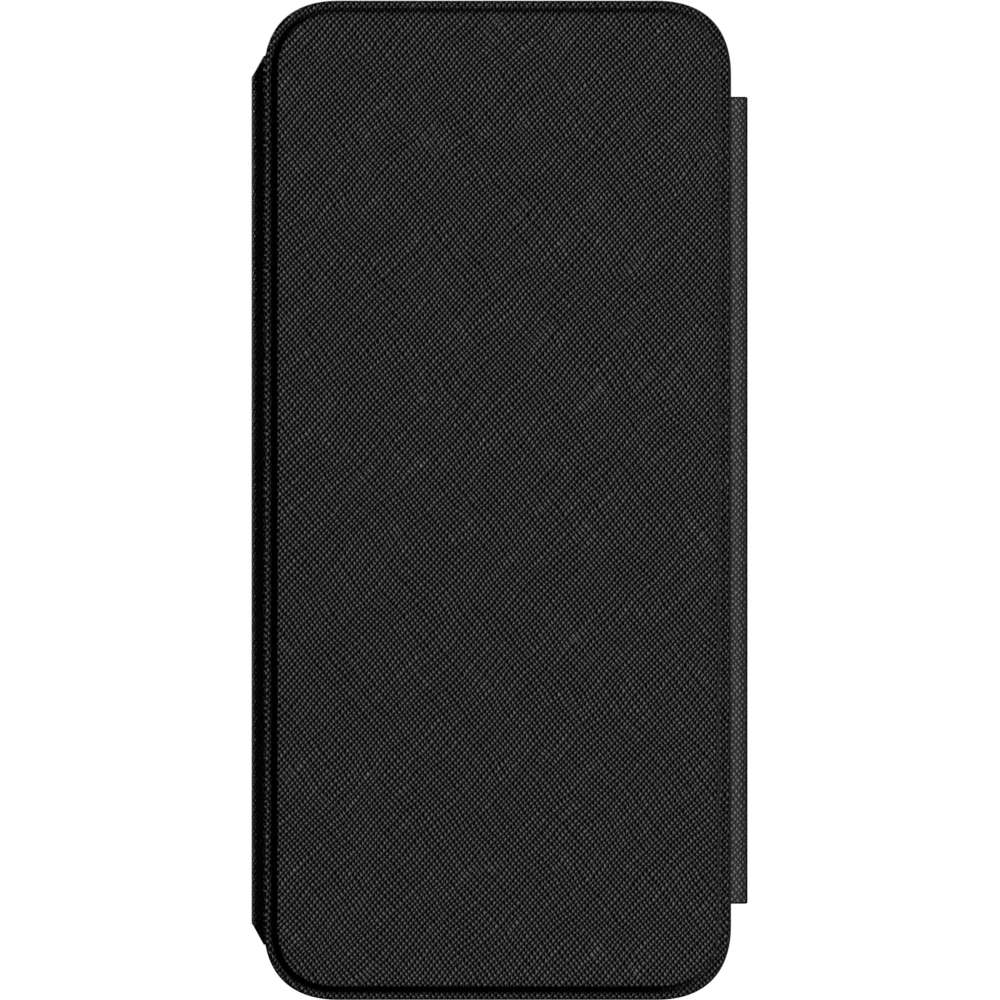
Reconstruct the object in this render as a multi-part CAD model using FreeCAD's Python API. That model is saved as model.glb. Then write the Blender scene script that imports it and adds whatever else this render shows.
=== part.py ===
import FreeCAD, Part
import os

# Book-style wallet case for a large phone, shut.
# A rigid tray holds the phone. Grained leather runs from the tray's back round a flat spine to a padded
# front cover. A flap on the cover's free edge wraps the tray's right-hand wall and is held by magnets.
# Lengths are in millimetres.
# Frame: the origin is the centre of the phone's seat, on the face of the tray's soft lining.
# +X points to the flap's side, -Y out through the front cover and +Z up along the phone.

# the phone the case is made for, with the room left round it
phone_width = 75.0
phone_height = 164.0
phone_depth = 8.6
phone_corner = 9.4
phone_gap = 0.1

# tray
lining_thick = 0.35
floor_thick = 1.1
wall_thick = 1.3
lip_gap = 0.15
lip_thick = 1.0
lip_overhang = 1.2
tray_edge_round = 1.1
back_edge_round = 0.6

# camera window in the back, seen through tray and leather
camera_x = 20.5
camera_z = 53.0
camera_width = 29.0
camera_height = 45.0
camera_corner = 8.0
trim_width = 1.6
trim_bevel = 0.5

# openings in the tray's bottom and top walls
port_length = 12.5
port_width = 5.2
sound_width = 2.2
speaker_length = 15.0
speaker_x = 22.0
microphone_length = 4.4
microphone_x = -16.0

# side buttons, in the right-hand wall
button_length = 10.0
button_width = 3.0
button_proud = 0.3
button_gap = 0.12
flange_thick = 0.3
flange_margin = 0.6
flange_room = 0.3
volume_up_z = 43.0
volume_down_z = 30.0
power_z = 10.0

# leather, boards and linings
leather_thick = 0.8
board_thick = 0.8
lining_skin = 0.3

# front cover
cover_width = 78.84
cover_height = 168.5
cover_corner = 12.5
corner_fullness = 0.64
cover_lining_y = -12.45
border_width = 1.2
groove_width = 0.8
groove_depth = 0.08
pad_rise = 0.35
pad_round = 0.34
pad_leather = 0.85
foam_thick = 0.5
foam_inset = 3.0
board_inset = 1.4
lining_inset = 0.8
edge_round = 0.25

# spine and its two folds
spine_reach = 2.05
spine_length = 143.5
fold_length = 149.9
spine_board_thick = 0.5
spine_board_margin = 0.4
tongue_gap = 0.1

# side flap
flap_reach = 2.78
flap_length = 136.1
flap_fold_radius = 1.5
flap_end_y = -0.3
flap_room = 0.9
flap_turn = 0.8
flap_lining_thick = 0.35

# steel catch plates in the tray wall and the magnets that face them in the flap
catch_thick = 0.5
catch_width = 6.4
magnet_thick = 1.0
magnet_width = 6.0
catch_y = -4.4
upper_catch_z = 59.0
upper_catch_length = 13.0
lower_catch_z = -41.0
lower_catch_length = 38.0

# card pockets and the cash pocket, on the inside of the cover
panel_thick = 0.25
card_gap = 0.78
cash_gap = 0.3
card_levels = 3
pocket_width = 62.0
pocket_bottom_z = -64.0
lowest_mouth_z = 12.0
mouth_step = 14.0
pocket_rim = 2.8
seat_seam = 1.5
cash_left_x = -34.0
cash_right_x = 37.0
cash_half_height = 80.0
cash_rim = 1.6
pocket_corner = 2.5
stitch_pitch = 3.0
stitch_length = 2.1
thread_radius = 0.1
seam_inset = 1.3

# a Bezier corner this full is a circular arc to within a thousandth of its radius
CIRCLE = 0.5523

# how far a cutter runs past the face it cuts, and how near two positions count as the same
over = 1.0
touch = 1e-4

# faces that several sub-parts share
floor_front_y = lining_thick
floor_back_y = floor_front_y + floor_thick
back_face_y = floor_back_y + leather_thick
lip_under_y = -(phone_depth + lip_gap)
lip_face_y = lip_under_y - lip_thick
cover_board_back_y = cover_lining_y - lining_skin
cover_board_front_y = cover_board_back_y - board_thick
border_face_y = cover_board_front_y - pad_leather
pad_face_y = border_face_y - pad_rise
cavity_x = phone_width / 2 + phone_gap
cavity_z = phone_height / 2 + phone_gap
tray_x = cavity_x + wall_thick
tray_z = cavity_z + wall_thick
cover_x = cover_width / 2
cover_z = cover_height / 2
spine_outer_x = -(cover_x + spine_reach)
spine_inner_x = spine_outer_x + leather_thick + spine_board_thick + lining_skin
flap_outer_x = cover_x + flap_reach
flap_inner_x = tray_x + flap_room
back_fold_y = back_face_y - spine_reach
front_fold_y = cover_board_front_y + spine_reach
flap_fold_x = flap_outer_x - flap_fold_radius
flap_fold_y = cover_board_front_y + flap_fold_radius
flange_stop_x = cavity_x + flange_thick + flange_room
keys_y = -phone_depth / 2


def box(x_low, x_high, y_low, y_high, z_low, z_high):
    """Block between two corners."""
    corner = FreeCAD.Vector(x_low, y_low, z_low)
    return Part.makeBox(x_high - x_low, y_high - y_low, z_high - z_low, corner)


def outline(half_width, half_height, corner, fullness, centre_x, centre_z, y):
    """Closed outline at depth y: four straight sides joined by Bezier corners."""
    pull = corner * (1 - fullness)
    corners = []
    for side_x, side_z in ((1, 1), (-1, 1), (-1, -1), (1, -1)):
        on_side = [(half_width, half_height - corner), (half_width, half_height - pull)]
        on_end = [(half_width - pull, half_height), (half_width - corner, half_height)]
        poles = [
            FreeCAD.Vector(centre_x + side_x * x, y, centre_z + side_z * z)
            for x, z in on_side + on_end
        ]
        if side_x != side_z:
            poles.reverse()
        corners.append(poles)
    edges = []
    for here, following in zip(corners, corners[1:] + corners[:1]):
        curve = Part.BezierCurve()
        curve.setPoles(here)
        edges.append(curve.toShape())
        edges.append(Part.makeLine(here[-1], following[0]))
    return Part.Wire(edges)


def plate(half_width, half_height, corner, y_low, y_high, centre=(0, 0), fullness=CIRCLE):
    """Flat plate with rounded corners, standing between two depths."""
    wire = outline(half_width, half_height, corner, fullness, centre[0], centre[1], y_low)
    return Part.Face(wire).extrude(FreeCAD.Vector(0, y_high - y_low, 0))


def cover_plate(inset, y_low, y_high):
    """Plate with the cover's own outline, made smaller all round by inset."""
    return plate(
        cover_x - inset, cover_z - inset, cover_corner - inset, y_low, y_high, fullness=corner_fullness
    )


def edges_at(shape, y, half_width, half_height, centre=(0, 0)):
    """Edges that lie at depth y and within a rectangle about centre."""
    found = []
    for edge in shape.Edges:
        size = edge.BoundBox
        level = abs(size.YMin - y) < touch and abs(size.YMax - y) < touch
        reach_x = max(abs(size.XMin - centre[0]), abs(size.XMax - centre[0]))
        reach_z = max(abs(size.ZMin - centre[1]), abs(size.ZMax - centre[1]))
        if level and reach_x < half_width + touch and reach_z < half_height + touch:
            found.append(edge)
    return found


def rounded_at(shape, radius, y):
    """Fillets every edge that lies at depth y."""
    return shape.makeFillet(radius, edges_at(shape, y, cover_width, cover_height))


def end_slot(length, width, centre_x, z_range):
    """Cutter with half-round ends, for an opening through the tray's top or bottom wall."""
    straight = (length - width) / 2
    cutter = box(
        centre_x - straight, centre_x + straight, keys_y - width / 2, keys_y + width / 2, *z_range
    )
    for side in (-1, 1):
        foot = FreeCAD.Vector(centre_x + side * straight, keys_y, z_range[0])
        cutter = cutter.fuse(Part.makeCylinder(width / 2, z_range[1] - z_range[0], foot))
    return cutter.removeSplitter()


def side_slot(length, width, centre_z, x_low, x_high):
    """Upright key shape with half-round ends, through the tray's right-hand wall."""
    straight = (length - width) / 2
    key = box(
        x_low, x_high, keys_y - width / 2, keys_y + width / 2, centre_z - straight, centre_z + straight
    )
    for side in (-1, 1):
        foot = FreeCAD.Vector(x_low, keys_y, centre_z + side * straight)
        key = key.fuse(Part.makeCylinder(width / 2, x_high - x_low, foot, FreeCAD.Vector(1, 0, 0)))
    return key.removeSplitter()


def tray_shell():
    """Hard plastic tray: floor, walls and the lip that snaps over the phone's edge."""
    cavity_corner = phone_corner + phone_gap
    shell = plate(tray_x, tray_z, cavity_corner + wall_thick, lip_face_y, floor_back_y)
    shell = rounded_at(shell, tray_edge_round, lip_face_y)
    shell = rounded_at(shell, back_edge_round, floor_back_y)
    cutters = [
        plate(cavity_x, cavity_z, cavity_corner, lip_under_y, floor_front_y),
        plate(
            cavity_x - lip_overhang,
            cavity_z - lip_overhang,
            cavity_corner - lip_overhang,
            lip_face_y - over,
            lip_under_y,
        ),
        camera_window(trim_width, floor_front_y - over, floor_back_y + over),
    ]
    bottom = (-tray_z - over, -cavity_z + over)
    top = (cavity_z - over, tray_z + over)
    cutters.append(end_slot(port_length, port_width, 0, bottom))
    cutters.append(end_slot(speaker_length, sound_width, speaker_x, bottom))
    cutters.append(end_slot(microphone_length, sound_width, microphone_x, bottom))
    cutters.append(end_slot(microphone_length, sound_width, microphone_x, top))
    for centre_z in (volume_up_z, volume_down_z, power_z):
        cutters += button_openings(centre_z)
    for centre_z, length in catch_places():
        cutters.append(catch_block(centre_z, length))
    for cutter in cutters:
        shell = shell.cut(cutter)
    return shell


def camera_window(margin, y_low, y_high):
    """Rounded window for the camera, wider by margin than its clear opening."""
    return plate(
        camera_width / 2 + margin,
        camera_height / 2 + margin,
        camera_corner + margin,
        y_low,
        y_high,
        centre=(camera_x, camera_z),
    )


def button_openings(centre_z):
    """Through slot for the key and the wider recess for its flange."""
    slack = 2 * button_gap
    through = side_slot(
        button_length + slack, button_width + slack, centre_z, cavity_x - over, tray_x + over
    )
    slack += 2 * flange_margin
    recess = side_slot(
        button_length + slack, button_width + slack, centre_z, cavity_x - over, flange_stop_x
    )
    return [through, recess]


def button(centre_z):
    """Key that slides in the wall, kept in by the flange behind it."""
    key = side_slot(button_length, button_width, centre_z, flange_stop_x, tray_x + button_proud)
    flange = side_slot(
        button_length + 2 * flange_margin,
        button_width + 2 * flange_margin,
        centre_z,
        flange_stop_x - flange_thick,
        flange_stop_x,
    )
    return key.fuse(flange).removeSplitter()


def catch_places():
    """Middle height and length of each catch plate, which the flap's magnets face."""
    return [(upper_catch_z, upper_catch_length), (lower_catch_z, lower_catch_length)]


def catch_block(centre_z, length):
    """Flat steel plate let into the outside of the tray wall."""
    return box(
        tray_x - catch_thick,
        tray_x,
        catch_y - catch_width / 2,
        catch_y + catch_width / 2,
        centre_z - length / 2,
        centre_z + length / 2,
    )


def tray_lining():
    """Soft fibre sheet the phone lies on, with the camera window cut out of it."""
    inset = 2 * phone_gap
    sheet = plate(cavity_x - inset, cavity_z - inset, phone_corner, 0, lining_thick)
    return sheet.cut(camera_window(trim_width, -over, lining_thick + over))


def camera_trim():
    """Frame round the camera window, flush with the leather, bevelled on the inside."""
    frame = camera_window(trim_width, 0, back_face_y)
    frame = frame.cut(camera_window(0, -over, back_face_y + over))
    clear = (camera_width / 2, camera_height / 2, (camera_x, camera_z))
    return frame.makeChamfer(trim_bevel, edges_at(frame, back_face_y, *clear))


def back_leather():
    """Leather over the tray's back, up to the start of the spine's back fold."""
    sheet = cover_plate(0, floor_back_y, back_face_y)
    return sheet.cut(camera_window(trim_width, floor_back_y - over, back_face_y + over))


def quarter_sleeve(centre_x, centre_y, outer_radius, x_side, y_side, half_length):
    """Quarter of a tube standing along Z, one leather thickness thick: a leather fold."""
    foot = FreeCAD.Vector(centre_x, centre_y, -half_length)
    tube = Part.makeCylinder(outer_radius, 2 * half_length, foot)
    tube = tube.cut(Part.makeCylinder(outer_radius - leather_thick, 2 * half_length, foot))
    x_range = sorted((centre_x, centre_x + x_side * 2 * outer_radius))
    y_range = sorted((centre_y, centre_y + y_side * 2 * outer_radius))
    return tube.common(box(*x_range, *y_range, -half_length, half_length))


def spine_taper():
    """Block whose ends slope, so a fold narrows from the cover's edge to the spine."""
    wide = fold_length / 2
    narrow = spine_length / 2
    corners = [
        (0, wide),
        (-cover_x, wide),
        (spine_outer_x, narrow),
        (spine_outer_x, -narrow),
        (-cover_x, -wide),
        (0, -wide),
    ]
    points = [FreeCAD.Vector(x, pad_face_y, z) for x, z in corners]
    wire = Part.makePolygon(points + points[:1])
    return Part.Face(wire).extrude(FreeCAD.Vector(0, back_face_y - pad_face_y, 0))


def back_fold():
    """Leather bend between the tray's back and the spine."""
    fold = quarter_sleeve(-cover_x, back_fold_y, spine_reach, -1, 1, fold_length / 2)
    return fold.common(spine_taper())


def front_fold():
    """Leather bend between spine and cover, with the tongue that is glued inside the cover."""
    fold = quarter_sleeve(-cover_x, front_fold_y, spine_reach, -1, -1, fold_length / 2)
    tongue_end = -(cover_x - board_inset + tongue_gap)
    tongue = box(
        -cover_x, tongue_end, cover_board_front_y, cover_board_back_y, -fold_length / 2, fold_length / 2
    )
    return fold.fuse(tongue).removeSplitter().common(spine_taper())


def spine_strip(x_low, x_high, margin):
    """Flat upright strip between the spine's two folds."""
    half = spine_length / 2 - margin
    return box(x_low, x_high, front_fold_y + margin, back_fold_y - margin, -half, half)


def spine_leather():
    """Outer leather of the spine."""
    return spine_strip(spine_outer_x, spine_outer_x + leather_thick, 0)


def spine_board():
    """Stiffener behind the spine's leather."""
    inner = spine_outer_x + leather_thick
    return spine_strip(inner, inner + spine_board_thick, spine_board_margin)


def spine_lining():
    """Lining over the spine's stiffener."""
    return spine_strip(spine_inner_x - lining_skin, spine_inner_x, spine_board_margin)


def cover_leather():
    """Outer leather of the cover: flat pressed border, groove, raised pad and turned-in edge."""
    border = cover_plate(0, border_face_y, cover_board_front_y)
    border = rounded_at(border, edge_round, border_face_y)
    groove = cover_plate(border_width, border_face_y - over, border_face_y + groove_depth)
    pad_inset = border_width + groove_width
    pad = cover_plate(pad_inset, pad_face_y, cover_board_front_y)
    pad = rounded_at(pad, pad_round, pad_face_y)
    skin = border.cut(groove).fuse(pad).removeSplitter()
    skin = skin.cut(cover_plate(foam_inset, cover_board_front_y - foam_thick, cover_board_front_y + over))
    turn_in = cover_plate(0, cover_board_front_y, cover_board_back_y)
    turn_in = turn_in.cut(cover_plate(board_inset, cover_board_front_y - over, cover_board_back_y + over))
    left_notch = fold_length / 2 + tongue_gap
    right_notch = flap_length / 2 + tongue_gap
    depth = (cover_board_front_y, cover_board_back_y + over)
    turn_in = turn_in.cut(box(-cover_x - over, 0, *depth, -left_notch, left_notch))
    turn_in = turn_in.cut(box(0, cover_x + over, *depth, -right_notch, right_notch))
    return skin.fuse(turn_in).removeSplitter()


def cover_foam():
    """Thin padding under the cover's raised panel."""
    return cover_plate(foam_inset, cover_board_front_y - foam_thick, cover_board_front_y)


def cover_board():
    """Stiff board that keeps the cover flat."""
    return cover_plate(board_inset, cover_board_front_y, cover_board_back_y)


def cover_lining():
    """Smooth lining on the inside of the cover."""
    return cover_plate(lining_inset, cover_board_back_y, cover_lining_y)


def cash_pocket():
    """Full-height pocket panel, closed on three sides and open towards the spine."""
    middle_x = (cash_left_x + cash_right_x) / 2
    half_width = (cash_right_x - cash_left_x) / 2
    sheet_low = cover_lining_y + cash_gap
    outer = (half_width, cash_half_height, pocket_corner)
    panel = plate(*outer, cover_lining_y, sheet_low + panel_thick, centre=(middle_x, 0))
    inside = box(
        cash_left_x - over,
        cash_right_x - cash_rim,
        cover_lining_y - over,
        sheet_low,
        cash_rim - cash_half_height,
        cash_half_height - cash_rim,
    )
    return panel.cut(inside)


def panel_back_y(level):
    """Depth of the side of a card panel that faces the cover; level 0 is the panel nearest the cover."""
    first = cover_lining_y + cash_gap + panel_thick + card_gap
    return first + level * (card_gap + panel_thick)


def above_lowest(level):
    """How much higher a panel's mouth is than the mouth of the lowest one, which is the last level."""
    return (card_levels - 1 - level) * mouth_step


def card_pocket(level):
    """Card panel with its U-shaped edge: open at the top, one card deep, with a seam the card stands on."""
    mouth_z = lowest_mouth_z + above_lowest(level)
    sheet_low = panel_back_y(level)
    rim_low = sheet_low - card_gap
    half_width = pocket_width / 2
    half_height = (mouth_z - pocket_bottom_z) / 2 + pocket_corner
    panel = plate(
        half_width,
        half_height,
        pocket_corner,
        rim_low,
        sheet_low + panel_thick,
        centre=(0, pocket_bottom_z + half_height),
    )
    panel = panel.cut(box(-half_width - over, half_width + over, rim_low - over, 0, mouth_z, cover_z))
    inner_x = half_width - pocket_rim
    inner_z = pocket_bottom_z + pocket_rim
    seat_z = inner_z + above_lowest(level)
    panel = panel.cut(box(-inner_x, inner_x, rim_low - over, sheet_low, seat_z, mouth_z + over))
    if above_lowest(level):
        panel = panel.cut(box(-inner_x, inner_x, rim_low - over, sheet_low, inner_z, seat_z - seat_seam))
    return panel


def stitch(x, z, level, along):
    """One visible stitch lying on a card panel."""
    rise = panel_back_y(level) + panel_thick + thread_radius
    start = FreeCAD.Vector(x, rise, z) - along * (stitch_length / 2)
    return Part.makeCylinder(thread_radius, stitch_length, start, along)


def pocket_stitching():
    """Row of stitches down both sides and along the bottom of the card pockets."""
    upright = FreeCAD.Vector(0, 0, 1)
    across = FreeCAD.Vector(1, 0, 0)
    seam_x = pocket_width / 2 - seam_inset
    seam_z = pocket_bottom_z + seam_inset
    stitches = []
    low = seam_z + stitch_pitch
    for level in reversed(range(card_levels)):
        mouth_z = lowest_mouth_z + above_lowest(level)
        count = int((mouth_z - low - stitch_length / 2) / stitch_pitch) + 1
        for number in range(count):
            z = low + number * stitch_pitch
            stitches += [stitch(side * seam_x, z, level, upright) for side in (-1, 1)]
        low = mouth_z + stitch_pitch / 2
    count = int(2 * (seam_x - stitch_pitch) / stitch_pitch) + 1
    for number in range(count):
        x = (number - (count - 1) / 2) * stitch_pitch
        stitches.append(stitch(x, seam_z, card_levels - 1, across))
    return Part.makeCompound(stitches)


def flap_fold():
    """Leather bend between cover and flap, with the tongue that is glued inside the cover."""
    half = flap_length / 2
    fold = quarter_sleeve(flap_fold_x, flap_fold_y, flap_fold_radius, 1, -1, half)
    tongue_start = cover_x - board_inset + tongue_gap
    tongue = box(tongue_start, flap_fold_x, cover_board_front_y, cover_board_back_y, -half, half)
    return fold.fuse(tongue).removeSplitter()


def flap_core(x_low, x_high, margin):
    """Block inside the flap, between its fold and its turned-in end."""
    half = flap_length / 2 - margin
    return box(x_low, x_high, flap_fold_y + margin, flap_end_y - margin, -half, half)


def flap_leather():
    """Flap's outer leather, turned in round its free end and both short ends."""
    half = flap_length / 2
    skin = box(flap_inner_x + flap_lining_thick, flap_outer_x, flap_fold_y, flap_end_y, -half, half)
    hollow = box(
        flap_inner_x,
        flap_outer_x - leather_thick,
        flap_fold_y - over,
        flap_end_y - flap_turn,
        flap_turn - half,
        half - flap_turn,
    )
    return skin.cut(hollow)


def magnet(centre_z, length):
    """Flat magnet let into the flap's board from the inside."""
    low = flap_inner_x + flap_lining_thick
    return box(
        low,
        low + magnet_thick,
        catch_y - magnet_width / 2,
        catch_y + magnet_width / 2,
        centre_z - length / 2,
        centre_z + length / 2,
    )


def flap_board():
    """Stiffener inside the flap, with a pocket for each magnet."""
    board = flap_core(flap_inner_x + flap_lining_thick, flap_outer_x - leather_thick, flap_turn)
    for centre_z, length in catch_places():
        board = board.cut(magnet(centre_z, length))
    return board


def flap_lining():
    """Lining on the side of the flap that lies against the tray."""
    half = flap_length / 2 - edge_round
    return box(
        flap_inner_x,
        flap_inner_x + flap_lining_thick,
        flap_fold_y + flap_turn,
        flap_end_y - edge_round,
        -half,
        half,
    )


def make_parts():
    """Every sub-part by name."""
    return {
        "tray_shell": tray_shell(),
        "tray_lining": tray_lining(),
        "camera_trim": camera_trim(),
        "catch_plate_upper": catch_block(upper_catch_z, upper_catch_length),
        "catch_plate_lower": catch_block(lower_catch_z, lower_catch_length),
        "volume_up_button": button(volume_up_z),
        "volume_down_button": button(volume_down_z),
        "power_button": button(power_z),
        "back_leather": back_leather(),
        "back_fold": back_fold(),
        "spine_leather": spine_leather(),
        "spine_board": spine_board(),
        "spine_lining": spine_lining(),
        "front_fold": front_fold(),
        "cover_leather": cover_leather(),
        "cover_foam": cover_foam(),
        "cover_board": cover_board(),
        "cover_lining": cover_lining(),
        "cash_pocket": cash_pocket(),
        "card_pocket_upper": card_pocket(0),
        "card_pocket_middle": card_pocket(1),
        "card_pocket_lower": card_pocket(2),
        "pocket_stitching": pocket_stitching(),
        "flap_fold": flap_fold(),
        "flap_leather": flap_leather(),
        "flap_board": flap_board(),
        "flap_lining": flap_lining(),
        "flap_magnet_upper": magnet(upper_catch_z, upper_catch_length),
        "flap_magnet_lower": magnet(lower_catch_z, lower_catch_length),
    }


os.makedirs("parts", exist_ok=True)
for name, shape in make_parts().items():
    shape.exportStep("parts/" + name + ".step")
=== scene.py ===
"""Looks of a shut book-style phone wallet case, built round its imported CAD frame.

Lengths here are millimetres unless a name says otherwise; vertices are scaled to metres when a mesh is made.
The closure flap is at +X, the spine at -X, the cover faces -Y and Z runs up along the phone.
"""

import math
import random
from functools import reduce

import bmesh
import bpy
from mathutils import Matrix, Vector, noise


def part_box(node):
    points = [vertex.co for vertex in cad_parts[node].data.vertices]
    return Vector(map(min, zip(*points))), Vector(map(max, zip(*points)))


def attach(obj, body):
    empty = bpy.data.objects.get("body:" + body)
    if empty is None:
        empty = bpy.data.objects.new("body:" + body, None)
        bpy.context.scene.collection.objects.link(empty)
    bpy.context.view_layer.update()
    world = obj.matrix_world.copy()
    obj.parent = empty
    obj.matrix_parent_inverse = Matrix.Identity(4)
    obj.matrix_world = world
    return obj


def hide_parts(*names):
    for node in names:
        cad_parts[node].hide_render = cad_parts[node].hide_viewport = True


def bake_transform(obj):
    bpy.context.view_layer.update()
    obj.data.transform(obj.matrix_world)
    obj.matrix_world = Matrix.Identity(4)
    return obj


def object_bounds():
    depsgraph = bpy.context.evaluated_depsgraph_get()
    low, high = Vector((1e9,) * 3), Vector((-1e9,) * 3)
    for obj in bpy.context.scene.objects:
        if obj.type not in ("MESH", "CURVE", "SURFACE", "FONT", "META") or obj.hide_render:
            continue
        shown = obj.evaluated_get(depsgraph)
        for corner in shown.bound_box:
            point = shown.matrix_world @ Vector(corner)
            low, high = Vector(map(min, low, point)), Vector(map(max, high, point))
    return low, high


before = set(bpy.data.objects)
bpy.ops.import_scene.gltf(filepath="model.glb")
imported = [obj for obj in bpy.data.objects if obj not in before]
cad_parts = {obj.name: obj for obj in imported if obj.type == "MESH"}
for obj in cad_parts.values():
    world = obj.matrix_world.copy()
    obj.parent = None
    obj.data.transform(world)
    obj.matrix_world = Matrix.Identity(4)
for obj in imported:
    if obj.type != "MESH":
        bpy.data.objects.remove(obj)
cad_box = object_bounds()

MM = 0.001


def extent(node):
    """Lowest and highest corner of a CAD node, in millimetres."""
    low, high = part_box(node)
    return low / MM, high / MM


# ---- sizes

# read from the frame
COVER_LOW, COVER_HIGH = extent("cover_leather")
BOARD_LOW, BOARD_HIGH = extent("cover_board")
FOAM_LOW, FOAM_HIGH = extent("cover_foam")
BACK_LOW, BACK_HIGH = extent("back_leather")
TRIM_LOW, TRIM_HIGH = extent("camera_trim")
SPINE_LOW, SPINE_HIGH = extent("spine_leather")
FRONT_FOLD_HIGH = extent("front_fold")[1]
FLAP_LOW, FLAP_HIGH = extent("flap_leather")
FLAP_FOLD_LOW, FLAP_FOLD_HIGH = extent("flap_fold")

COVER_X = COVER_HIGH.x
COVER_Z = COVER_HIGH.z
LEATHER = SPINE_HIGH.x - SPINE_LOW.x
SPINE_REACH = -COVER_X - SPINE_LOW.x
SPINE_MIDDLE_Y = (SPINE_LOW.y + SPINE_HIGH.y) / 2
FLAP_RADIUS = FLAP_LOW.y - BOARD_LOW.y

# the same as in the CAD: corners, how far each layer stands in from the cover's edge, and its pressed relief
CORNER = 12.5
FULLNESS = 0.64
CIRCLE = 0.5523  # the fullness of a round corner
BORDER_FACE_Y = BOARD_LOW.y - 0.85
BOARD_INSET = 1.4
LINING_INSET = 0.8
FOAM_INSET = 3.0
PAD_INSET = 2.0
TONGUE_GAP = 0.1
FLAP_TURN = 0.8
TRIM_CORNER = 9.6
PHONE_CORNER = 9.4


# ---- mesh helpers


def finish_mesh(name, bm, materials):
    """Turns a bmesh in millimetres into a smooth-shaded object in metres, its tight edges kept sharp."""
    sharp_degrees = 40
    bmesh.ops.recalc_face_normals(bm, faces=bm.faces)
    bm.normal_update()
    for edge in bm.edges:
        if len(edge.link_faces) == 2:
            edge.smooth = edge.calc_face_angle(0) < math.radians(sharp_degrees)
    for face in bm.faces:
        face.smooth = True
    bmesh.ops.scale(bm, vec=(MM, MM, MM), verts=bm.verts)
    mesh = bpy.data.meshes.new(name)
    bm.to_mesh(mesh)
    bm.free()
    for material in materials:
        mesh.materials.append(material)
    made = bpy.data.objects.new(name, mesh)
    bpy.context.scene.collection.objects.link(made)
    return made


def place(made, body, slot, *nodes):
    """Puts a rigid piece on its body and hides the CAD nodes it stands for; the slot argument is not used."""
    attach(made, body)
    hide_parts(*nodes)


def mark_painted_shade_and_ink(made, shares):
    """Stores each vertex's painted shade, and on the flap its inked edges, which the leather shows darker."""
    attribute = made.data.attributes.new("painted_shade_and_ink", "FLOAT", "POINT")
    attribute.data.foreach_set("value", shares)


def bezier_corner(corner, fullness, steps):
    """Quarter corner from side to end, as distances in from the box's side and end."""
    pull = corner * (1 - fullness)
    poles = [(0, corner), (0, pull), (pull, 0), (corner, 0)]
    points = []
    for number in range(steps + 1):
        t = number / steps
        weights = ((1 - t) ** 3, 3 * t * (1 - t) ** 2, 3 * t * t * (1 - t), t**3)
        points.append(tuple(sum(w * pole[axis] for w, pole in zip(weights, poles)) for axis in (0, 1)))
    return points


def outline(half_width, half_height, corner, fullness=CIRCLE, inset=0.0, centre=(0, 0), steps=(64, 26, 20)):
    """Closed ring of (across, up) points; rings made with the same steps have equal numbers of points."""
    side_steps, end_steps, corner_steps = steps
    width = half_width - inset
    height = half_height - inset
    corner = min(max(corner - inset, 0.3 * min(inset, width), 0.02), 0.98 * width, 0.98 * height)
    quarter = bezier_corner(corner, fullness, corner_steps)
    corners = []
    for side, end in ((1, 1), (-1, 1), (-1, -1), (1, -1)):
        points = [(centre[0] + side * (width - a), centre[1] + end * (height - b)) for a, b in quarter]
        corners.append(points if side == end else points[::-1])
    ring = []
    for number, here in enumerate(corners):
        following = corners[(number + 1) % 4]
        ring += here
        count = end_steps if number % 2 == 0 else side_steps
        for step in range(1, count):
            t = step / count
            ring.append(tuple(a + (b - a) * t for a, b in zip(here[-1], following[0])))
    return ring


def loft(name, rings, materials, closed=False, uv_of=None, second_from=None):
    """Skin over equal rings of 3-D points. An open loft is capped at both ends, a closed one joins up.

    Faces from ring number second_from on get the second material. uv_of gives a point's place on the
    flattened leather, in millimetres.
    """
    bm = bmesh.new()
    layers = [[bm.verts.new(point) for point in ring] for ring in rings]
    count = len(layers[0])
    pairs = list(zip(layers, layers[1:]))
    if closed:
        pairs.append((layers[-1], layers[0]))
    for number, (low, high) in enumerate(pairs):
        for step in range(count):
            after = (step + 1) % count
            face = bm.faces.new((low[step], low[after], high[after], high[step]))
            if second_from is not None and number >= second_from:
                face.material_index = 1
    if not closed:
        bm.faces.new(layers[0][::-1])
        last = bm.faces.new(layers[-1])
        if second_from is not None:
            last.material_index = 1
    layer = bm.loops.layers.uv.new("unrolled")
    for face in bm.faces:
        for loop in face.loops:
            point = loop.vert.co
            loop[layer].uv = uv_of(point) if uv_of else (point.x, point.z)
    return finish_mesh(name, bm, materials)


def bent_path(start, heading_degrees, legs):
    """Function from a length along a path in the XY plane to (point, left-hand normal).

    legs are (length, total turn in degrees); a positive turn is anticlockwise, none is a straight line.
    """

    def at(distance):
        point = Vector(start)
        heading = math.radians(heading_degrees)
        for number, (length, turn) in enumerate(legs):
            here = distance if number == len(legs) - 1 else min(distance, length)
            swing = math.radians(turn) * here / length
            chord = here
            if turn:
                chord = 2 * length / abs(math.radians(turn)) * math.sin(abs(swing) / 2)
            middle = heading + swing / 2
            point += Vector((math.cos(middle), math.sin(middle))) * chord
            heading += swing
            distance -= here
            if distance <= 0:
                break
        return point, Vector((-math.sin(heading), math.cos(heading)))

    return at


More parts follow.
